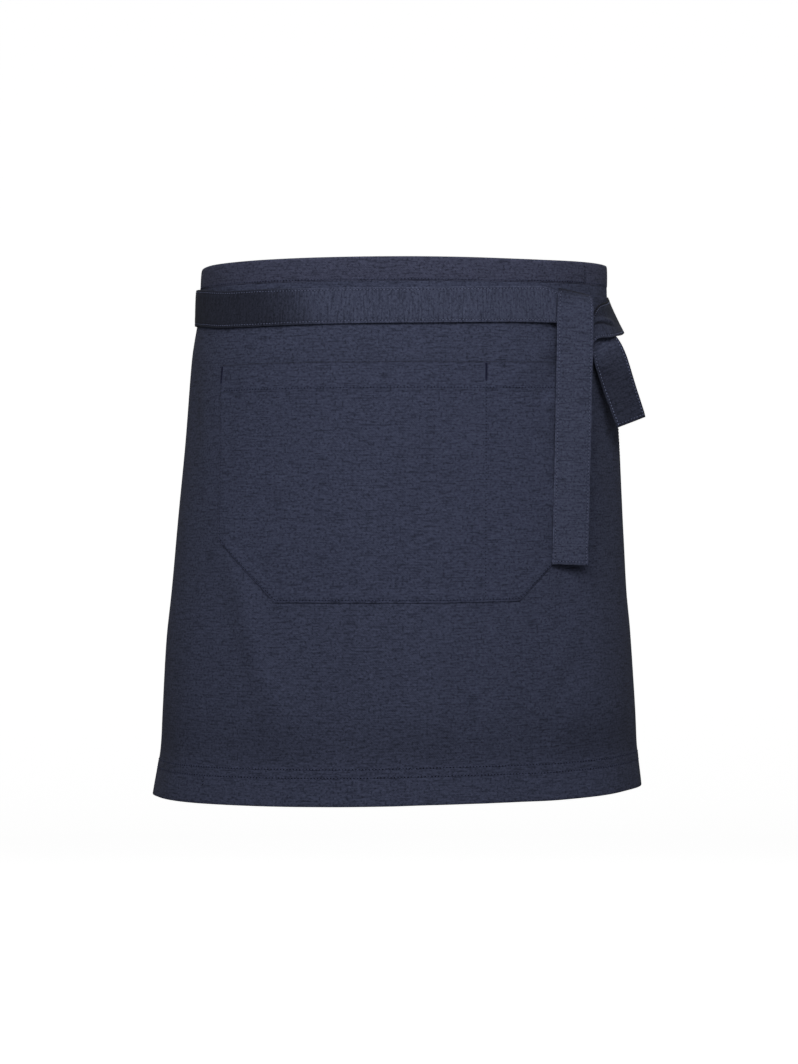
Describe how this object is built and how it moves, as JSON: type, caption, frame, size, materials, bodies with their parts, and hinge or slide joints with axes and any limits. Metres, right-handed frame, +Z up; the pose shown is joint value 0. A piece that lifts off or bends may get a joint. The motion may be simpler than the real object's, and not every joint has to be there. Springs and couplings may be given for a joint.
{
  "type": "waist apron",
  "caption": "Short flared waist apron with a wide patch pocket, a doubled waistband and long ties that cross behind and knot at the front, kept in its worn form.",
  "frame": {"origin": "middle of the waist that the apron goes round, at the height of the waistband's upper edge", "axes": "+Z up, -Y the way that the apron's front faces, +X towards the knot, on the right as seen from the front"},
  "size_m": [0.4301, 0.252, 0.4593],
  "materials": {
    "panel_chambray": "matt navy cotton chambray, plain weave with slubs along the weft",
    "band_chambray": "matt navy cotton chambray, doubled and edge stitched",
    "pocket_chambray": "matt navy cotton chambray, single with a doubled top hem",
    "tie_chambray": "matt navy cotton chambray, cut along the warp, doubled and edge stitched"
  },
  "bodies": {
    "root": {"skirt_panel": "panel_chambray", "waistband": "band_chambray", "pocket": "pocket_chambray", "tie_right": "tie_chambray", "tie_left": "tie_chambray"}
  },
  "joints": []
}
